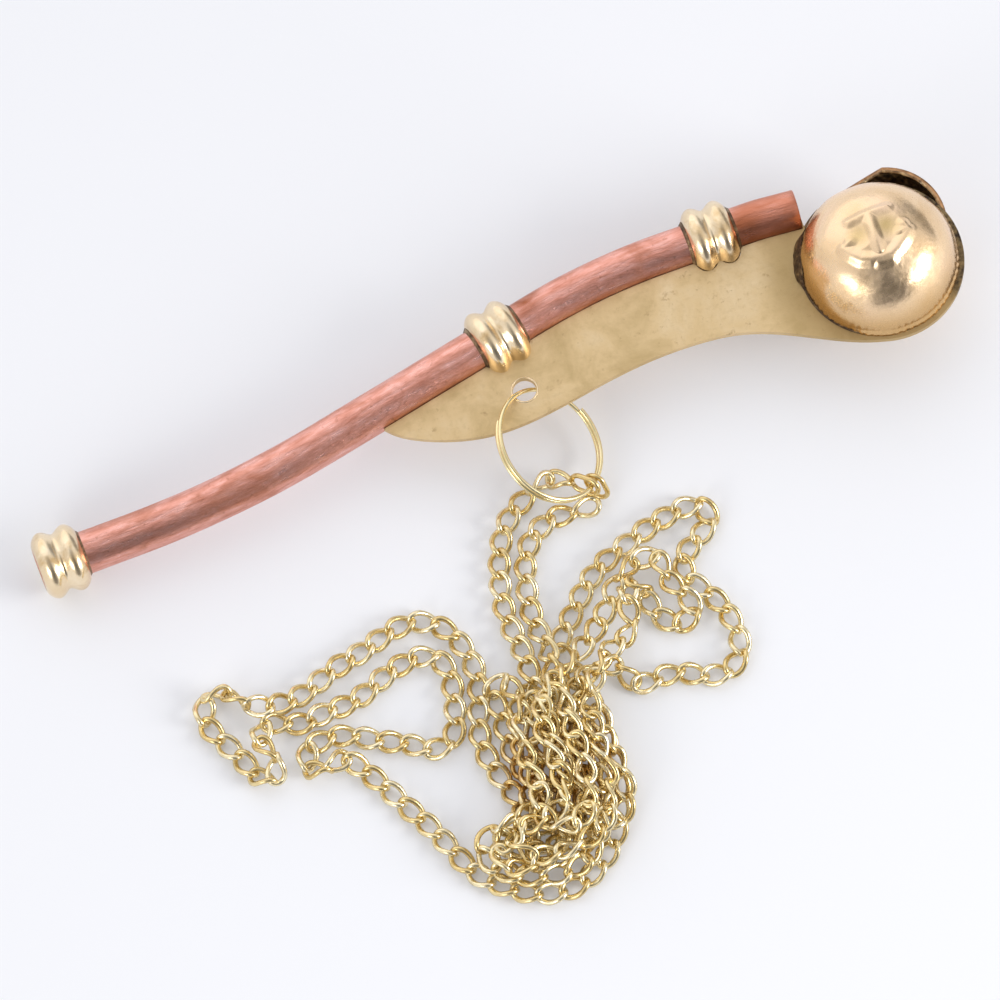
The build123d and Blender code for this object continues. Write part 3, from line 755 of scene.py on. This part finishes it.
# ---------------------------------------------------------------- ball
# The curve of the anchor's arms, from tip to tip.
ANCHOR_ARMS = [(-4.7, 0.0), (-4.05, -1.25), (-3.15, -2.3), (-1.9, -2.85), (-0.4, -3.1), (1.0, -3.0),
               (2.1, -2.45), (3.3, -1.5), (4.15, -0.5)]
ANCHOR_RELIEF = 0.36
# The hollows on both sides of the shank: the middle's u and v, and the half lengths along them.
HOLLOWS = [(-2.35, 0.9, 1.75, 2.1), (1.75, 0.8, 1.95, 2.4)]


def anchor_height(u, v):
    """Relief of a plain anchor, struck soft: stock, shank, curved arms and flukes, in millimetres."""
    stock = segment(u, v, (-3.0, 3.2), (2.6, 3.4)) - 0.30
    shank = segment(u, v, (-0.2, 3.1), (-0.4, -2.2)) - 0.46
    arms = min(segment(u, v, p, q) for p, q in zip(ANCHOR_ARMS, ANCHOR_ARMS[1:])) - 0.48
    crown = segment(u, v, (-0.9, -3.3), (0.6, -3.4)) - 0.66
    flukes = min(segment(u, v, (-4.6, 0.0), (-3.5, 0.55)), segment(u, v, (4.1, -0.4), (3.85, 0.5)),
                 segment(u, v, (4.0, -0.4), (3.1, -0.5))) - 0.36
    near = min(stock, shank, arms, crown, flukes)
    return ANCHOR_RELIEF * (1 - smooth(-0.50, 0.75, near))


def dome_relief(u, v, w):
    """How far the front dome stands out from its sphere, in millimetres."""
    out = anchor_height(u, v)
    for middle_u, middle_v, half_u, half_v in HOLLOWS:
        d = math.hypot((u - middle_u) / half_u, (v - middle_v) / half_v)
        out -= 0.34 * max(0.0, 1 - d * d) ** 1.5
    # The struck field is a little sunk, and hand raising leaves slow waves.
    out -= 0.16 * smooth(7.4, 4.5, math.hypot(u, v + 0.2))
    out += 0.06 * math.sin(0.55 * u + 0.9) * math.sin(0.62 * v - 0.4)
    out += 0.03 * math.sin(1.3 * u - 0.4 * v) * math.sin(1.1 * v + 0.7)
    # Hammer ribs round the foot, deeper on the side away from the tube.
    low = smooth(3.4, 1.0, w)
    turn = math.atan2(v, u)
    below = smooth(0.2, -0.5, math.sin(turn))
    out += (0.02 + 0.05 * below) * low * math.sin(70 * turn) * (0.6 + 0.4 * math.sin(11 * turn))
    return out


def make_dome():
    """The front dome: raised by hand, with the anchor struck into it and a turned-out lip."""
    rings, around = 150, 300
    verts = [tuple(lie(0, 0, BALL_R + dome_relief(0, 0, BALL_R)))]
    last = math.acos(KEEL_HALF / BALL_R)
    for i in range(1, rings + 1):
        t = i / rings
        polar = last * (0.62 * t + 0.38 * t * t)
        for j in range(around):
            turn = 2 * math.pi * j / around
            u, v = math.sin(polar) * math.cos(turn) * BALL_R, math.sin(polar) * math.sin(turn) * BALL_R
            w = math.cos(polar) * BALL_R
            lip = 0.26 * smooth(1.5, 0.6, w) * smooth(-0.72, -0.45, math.cos(turn))
            k = 1 + (dome_relief(u, v, w) + lip) / BALL_R
            verts.append(tuple(lie(u * k, v * k, w * k if i < rings else w)))
    faces = [(0, 1 + j, 1 + (j + 1) % around) for j in range(around)]
    faces += grid_faces(rings, around, first=1, close=False)
    dome = mesh_object("front_dome", verts, faces)
    open_wind_hole(dome)
    thick = dome.modifiers.new("wall", "SOLIDIFY")
    thick.thickness = WALL * MM
    thick.offset = -1
    thick.use_even_offset = False
    dress(dome, DOME)
    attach(dome, "call")
    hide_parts("buoy_front_dome")


def open_wind_hole(obj):
    """Cut the wind hole's half out of a dome, with clean straight edges."""
    middle = lie((WIND_LEFT + WIND_RIGHT) / 2, 10, 0)
    mesh = bmesh.new()
    mesh.from_mesh(obj.data)
    for place, normal in ((lie(WIND_LEFT, 0, 0), U_DIR), (lie(WIND_RIGHT, 0, 0), U_DIR),
                          (lie(0, WIND_FOOT, 0), V_DIR), (lie(0, 0, WIND_HALF), W_DIR)):
        near = [f for f in mesh.faces if (f.calc_center_median() - middle).length < 8 * MM]
        parts = list({e for f in near for e in f.edges}) + list({v for f in near for v in f.verts}) + near
        bmesh.ops.bisect_plane(mesh, geom=parts, plane_co=place, plane_no=normal, dist=1e-7)
    gone = []
    for f in mesh.faces:
        d = f.calc_center_median() - BALL
        u, v, w = d.dot(U_DIR) / MM, d.dot(V_DIR) / MM, d.dot(W_DIR) / MM
        if WIND_LEFT < u < WIND_RIGHT and v > WIND_FOOT and abs(w) < WIND_HALF:
            gone.append(f)
    bmesh.ops.delete(mesh, geom=gone, context="FACES")
    mesh.to_mesh(obj.data)
    mesh.free()
    obj.data.polygons.foreach_set("use_smooth", [True] * len(obj.data.polygons))


make_dome()


def make_seam():
    """The solder round the front dome's foot: high on the tube's side and thin elsewhere."""
    around, section = 720, 9
    gap = (80, 120)                 # degrees, where the wind hole is
    verts, faces = [], []
    for j in range(around):
        turn = 360.0 * j / around
        a = math.radians(turn)
        side = smooth(24, 11, abs(turn - 160))
        top = smooth(26, 8, abs(turn - 45))
        lumps = 0.5 + 0.5 * math.sin(37 * a + 2 * math.sin(5 * a)) * math.sin(23 * a + 1.3)
        reach = 0.12 + 0.60 * side + 0.18 * top + 0.08 * lumps * (0.1 + side + 2 * top)
        height = 0.35 + 2.1 * side + 0.3 * top
        inner = math.sqrt(BALL_R ** 2 - height ** 2) - 0.03
        for k in range(section):
            t = k / (section - 1)
            swell = 0.12 * math.sin(math.pi * t)
            swell += 0.05 * side * math.sin(53 * a + 2.3 * k) * math.sin(3.0 * t)
            r = (BALL_R + reach) * (1 - t) + inner * t + swell
            verts.append(lie(r * math.cos(a), r * math.sin(a), 0.38 + height * t))
        if not gap[0] < turn < gap[1]:
            m = (j + 1) % around
            faces += [(j * section + k, m * section + k, m * section + k + 1, j * section + k + 1)
                      for k in range(section - 1)]
    seam = mesh_object("front_seam", verts, faces)
    dress(seam, SEAM)
    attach(seam, "call")
    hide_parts("front_seam_solder")


make_seam()


def make_hood():
    """The hood behind the wind hole: part of a second sphere, open towards the tube."""
    outward = U_DIR * math.cos(HOOD_ANGLE) + V_DIR * math.sin(HOOD_ANGLE)
    mesh = bmesh.new()
    bmesh.ops.create_uvsphere(mesh, u_segments=160, v_segments=96, radius=HOOD_R * MM)
    bmesh.ops.translate(mesh, verts=mesh.verts, vec=BALL + outward * HOOD_OUT * MM)
    mouth = V_DIR * math.cos(HOOD_SLOPE) - U_DIR * math.sin(HOOD_SLOPE) + W_DIR * HOOD_LEAN
    for place, away in ((lie(*HOOD_MOUTH), mouth.normalized()), (lie(0, 0, KEEL_HALF), W_DIR),
                        (BALL + outward * HOOD_FOOT * MM, -outward)):
        parts = list(mesh.verts) + list(mesh.edges) + list(mesh.faces)
        bmesh.ops.bisect_plane(mesh, geom=parts, plane_co=place, plane_no=away, clear_outer=True, dist=1e-7)
    data = bpy.data.meshes.new("hood")
    mesh.to_mesh(data)
    mesh.free()
    hood = add_object(data)
    thick = hood.modifiers.new("wall", "SOLIDIFY")
    thick.thickness = WALL * MM
    thick.offset = -1
    dress(hood, HOOD)
    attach(hood, "call")
    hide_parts("wind_hood")


make_hood()


# ---------------------------------------------------------------- the CAD nodes that stay
for name in ("chain_end_link_a", "chain_end_link_b"):
    dress(nodes[name], CHAIN)
dress(nodes["split_ring"], RING)
dress(nodes["keel_plate"], KEEL)
dress(nodes["buoy_rear_dome"], DOME)
for name in ("mouth_solder", "middle_solder", "exit_solder", "rear_seam_solder"):
    dress(nodes[name], SOLDER)


def make_hole_lip():
    """The burr that drilling left round the plate's hole, on both faces."""
    around, section = 72, 8
    verts, faces = [], []
    for face in (-KEEL_HALF, KEEL_HALF):
        faces += grid_faces(around, section, first=len(verts))
        for j in range(around):
            a = 2 * math.pi * j / around
            wire = 0.09 + 0.02 * math.sin(2 * a + 0.6)
            for k in range(section):
                b = 2 * math.pi * k / section
                r = KEEL_HOLE_R + 0.15 + wire * math.cos(b)
                w = face + 0.5 * wire * math.sin(b)
                verts.append(lie(KEEL_HOLE[0] + r * math.cos(a), KEEL_HOLE[1] + r * math.sin(a), w))
    lip = mesh_object("hole_lip", verts, faces)
    dress(lip, FERRULE)
    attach(lip, "call")


make_hole_lip()


# ---------------------------------------------------------------- floor and light
def floor_paper():
    """Pale paper, with a faint glow of its own that keeps the shadows light."""
    n = Nodes("floor_paper")
    tint = n.noise(n.mapped(), 3, 2)
    colour = n.ramp(tint, (0.3, (0.74, 0.75, 0.775)), (0.7, (0.755, 0.765, 0.79)))
    rough = n.ramp(tint, (0.3, 0.75), (0.7, 0.85))
    n.shader.inputs["Emission Color"].default_value = (0.93, 0.94, 1.0, 1)
    n.shader.inputs["Emission Strength"].default_value = 0.15
    return n.finish(colour, rough, metallic=0.0)


FLOOR_HALF = 3                      # metres
floor = mesh_object("floor", [(-FLOOR_HALF, -FLOOR_HALF, 0), (FLOOR_HALF, -FLOOR_HALF, 0),
                              (FLOOR_HALF, FLOOR_HALF, 0), (-FLOOR_HALF, FLOOR_HALF, 0)], [(0, 1, 2, 3)])
dress(floor, floor_paper())


def softbox(name, towards, distance, size, power):
    """A large rectangular light in a direction from the object, facing it."""
    light = bpy.data.lights.new(name, "AREA")
    light.shape = "RECTANGLE"
    light.size, light.size_y = size
    light.energy = power
    obj = bpy.data.objects.new(name, light)
    bpy.context.scene.collection.objects.link(obj)
    direction = Vector(towards).normalized()
    obj.location = direction * distance + Vector((0, -0.02, 0))
    obj.rotation_mode = "QUATERNION"
    obj.rotation_quaternion = (-direction).to_track_quat("-Z", "Y")


softbox("right_box", (0.85, -0.52, 0.42), 0.9, (0.42, 0.36), 4.5)
softbox("left_box", (-0.80, -0.50, 0.42), 1.0, (0.45, 0.35), 1.9)


# The tent's patches: a direction, the inner and outer degrees round it, and how bright it is.
PATCHES = [((0.0, -0.93, 0.36), 12, 44, 0.24), ((-0.05, -0.62, 0.78), 10, 34, 0.62),
           ((-0.115, -0.322, 0.94), 12, 42, 0.58), ((0.89, 0.45, 0.05), 12, 35, 0.35),
           ((-0.2, 0.85, 0.50), 18, 55, 1.45)]
TENT_STRENGTH = 0.90


def studio():
    """A light tent: white all round, brightest behind, dimmer overhead, with a dark gap at the front."""
    world = bpy.data.worlds.new("studio")
    bpy.context.scene.world = world
    world.use_nodes = True
    tree = world.node_tree
    background = tree.nodes["Background"]
    direction = tree.nodes.new("ShaderNodeTexCoord").outputs["Generated"]

    def patch(place, inner, outer, value):
        """value within inner degrees of a direction, 1 beyond outer degrees."""
        dot = tree.nodes.new("ShaderNodeVectorMath")
        dot.operation = "DOT_PRODUCT"
        tree.links.new(direction, dot.inputs[0])
        dot.inputs[1].default_value = Vector(place).normalized()
        ramp = tree.nodes.new("ShaderNodeMapRange")
        ramp.interpolation_type = "SMOOTHSTEP"
        ramp.inputs["From Min"].default_value = math.cos(math.radians(outer))
        ramp.inputs["From Max"].default_value = math.cos(math.radians(inner))
        ramp.inputs["To Min"].default_value = 1.0
        ramp.inputs["To Max"].default_value = value
        tree.links.new(dot.outputs["Value"], ramp.inputs["Value"])
        return ramp.outputs["Result"]

    def times(first, second=None):
        """The product of two sockets, or of a socket and the tent's strength."""
        made = tree.nodes.new("ShaderNodeMath")
        made.operation = "MULTIPLY"
        made.inputs[1].default_value = TENT_STRENGTH
        tree.links.new(first, made.inputs[0])
        if second is not None:
            tree.links.new(second, made.inputs[1])
        return made.outputs[0]

    total = patch(*PATCHES[0])
    for values in PATCHES[1:]:
        total = times(total, patch(*values))
    background.inputs["Color"].default_value = (0.985, 0.98, 1.0, 1)
    tree.links.new(times(total), background.inputs["Strength"])


studio()
bpy.context.scene.view_settings.view_transform = "Standard"
